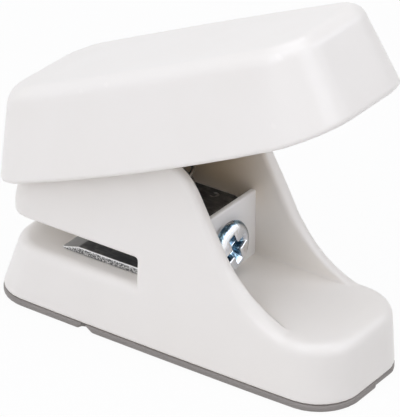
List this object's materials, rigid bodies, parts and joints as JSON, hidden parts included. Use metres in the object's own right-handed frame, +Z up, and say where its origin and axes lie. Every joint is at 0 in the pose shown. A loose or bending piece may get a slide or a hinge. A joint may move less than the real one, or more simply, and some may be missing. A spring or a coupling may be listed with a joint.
{
  "type": "disc binding punch",
  "caption": "Palm-lever desk punch that cuts a mushroom-shaped hole at a sheet's edge for disc binding, with a steel die frame, a sprung punch and a fold-down chip cover.",
  "frame": {"origin": "under the middle of the base, at the surface that the punch stands on", "axes": "+X from the paper mouth to the tail, +Y across the punch, +Z up"},
  "size_m": [0.08, 0.0362, 0.0708],
  "materials": {
    "white_plastic": "fine satin moulding, white",
    "inner_plastic": "plain moulding, off-white",
    "grey_plastic": "soft satin moulding, mid grey",
    "dark_steel": "blackened strip with bright sheared edges",
    "zinc_steel": "bright zinc plate",
    "tool_steel": "ground steel",
    "spring_steel": "drawn wire"
  },
  "bodies": {
    "body": {"body_shell": "white_plastic", "cover_anchor": "grey_plastic", "die_bracket": "dark_steel", "guide_bracket": "dark_steel", "frame_rivets": "zinc_steel", "punch_guide": "inner_plastic", "guide_rivets": "zinc_steel", "return_spring": "spring_steel", "spring_seat": "zinc_steel", "frame_screw": "zinc_steel", "nut_plate": "zinc_steel", "pivot_pin": "tool_steel", "pin_clips": "spring_steel"},
    "lever": {"lever_cap": "white_plastic", "lever_core": "inner_plastic", "press_shoe": "tool_steel"},
    "punch": {"punch": "tool_steel", "punch_head": "tool_steel", "head_pin": "tool_steel"},
    "cover": {"chip_cover": "grey_plastic"}
  },
  "joints": [
    {"name": "lever_pivot", "type": "hinge", "parent": "body", "child": "lever", "pos_m": [-0.02585, 0, 0.0375], "axis": [0, 1, 0], "range_deg": [0, 22]},
    {"name": "punch_slide", "type": "slide", "parent": "body", "child": "punch", "axis": [0, 0, -1], "range_m": [0, 0.00656], "stiffness_N_per_m": 460, "springref_m": -0.0025, "deforming": ["return_spring"]},
    {"name": "cover_fold", "type": "hinge", "parent": "body", "child": "cover", "pos_m": [-0.016, 0, 0], "axis": [0, 1, 0], "range_deg": [0, 75]}
  ],
  "couplings": [
    {"joint": "lever_pivot", "follows": "punch_slide", "rad_per_m": 58.498}
  ]
}
